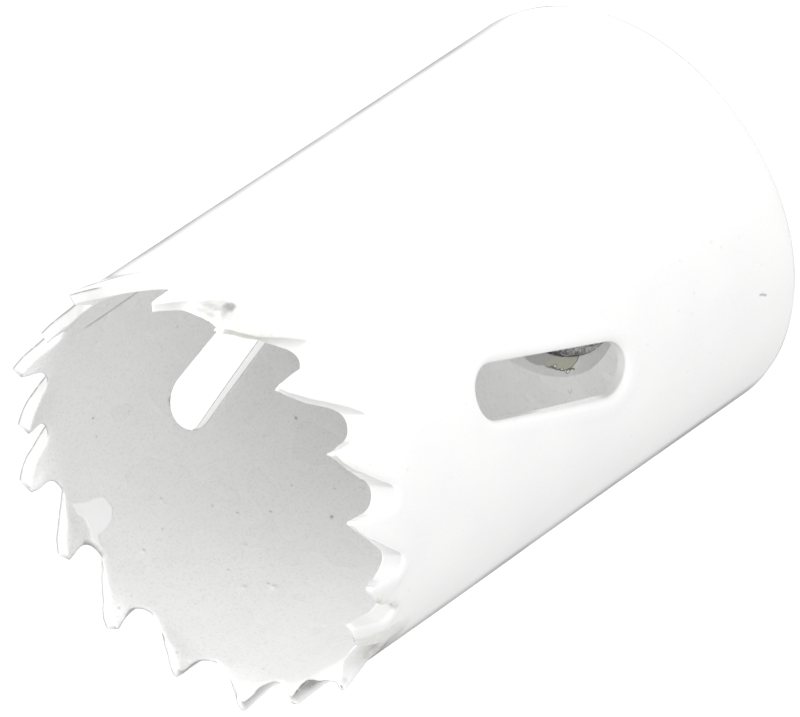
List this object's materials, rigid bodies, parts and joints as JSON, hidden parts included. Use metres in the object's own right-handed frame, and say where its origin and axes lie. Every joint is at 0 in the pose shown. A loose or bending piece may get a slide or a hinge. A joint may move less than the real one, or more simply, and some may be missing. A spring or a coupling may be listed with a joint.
{
  "type": "hole saw",
  "caption": "Round hole saw: a thin toothed steel cup with two slanted chip slots, on a thick cap threaded for an arbor.",
  "frame": {"origin": "centre of the back face of the cap, where the arbor shoulder seats", "axes": "+Z along the axis towards the teeth, +X through the middle of one chip slot"},
  "size_m": [0.0318, 0.0317, 0.0475],
  "materials": {
    "white_enamel": "glossy",
    "white_enamel_inner": "glossy"
  },
  "bodies": {
    "root": {"saw_shell": "white_enamel", "arbor_cap": "white_enamel_inner"}
  },
  "joints": []
}
